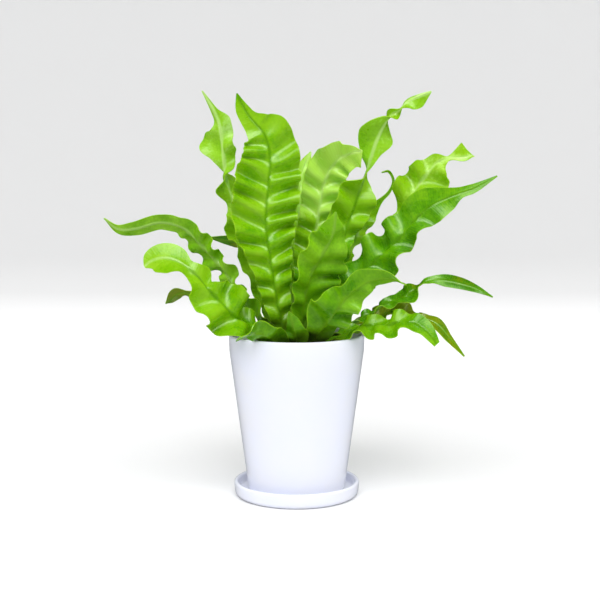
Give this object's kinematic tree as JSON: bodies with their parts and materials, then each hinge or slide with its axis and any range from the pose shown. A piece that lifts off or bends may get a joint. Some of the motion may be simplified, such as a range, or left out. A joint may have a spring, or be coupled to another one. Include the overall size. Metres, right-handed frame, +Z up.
{
  "type": "potted fern",
  "caption": "Wavy-leaved bird's nest fern with upright and arching ruffled strap fronds, in a tapered white glazed pot on a shallow saucer.",
  "frame": {"origin": "middle of the flat foot of the saucer, on the floor that the plant stands on", "axes": "+Z up the pot and the plant, -Y towards the front of the plant, +X to its right as seen from the front"},
  "size_m": [0.3708, 0.2075, 0.3893],
  "materials": {
    "glaze": "white gloss-glazed earthenware",
    "compost": "dark crumbly potting compost",
    "crown": "brown scaly rhizome",
    "leaf": "satin green fern blade with a pale sheen"
  },
  "bodies": {
    "root": {"saucer": "glaze", "pot": "glaze", "compost": "compost", "crown": "crown", "frond_front_tall": "leaf", "frond_left_tall": "leaf", "frond_back_bent": "leaf", "frond_back_upright": "leaf", "frond_right_twist": "leaf", "frond_right_tendril": "leaf", "frond_front_mid": "leaf", "frond_front_small": "leaf", "frond_front_right": "leaf", "frond_right_high": "leaf", "frond_right_mid": "leaf", "frond_right_arch": "leaf", "frond_right_droop": "leaf", "frond_right_front": "leaf", "frond_left_arch": "leaf", "frond_left_curl": "leaf", "frond_left_under": "leaf", "frond_front_left": "leaf", "frond_back_left": "leaf", "frond_back_low_right": "leaf", "frond_back_mid": "leaf", "frond_back_low_left": "leaf"}
  },
  "joints": []
}
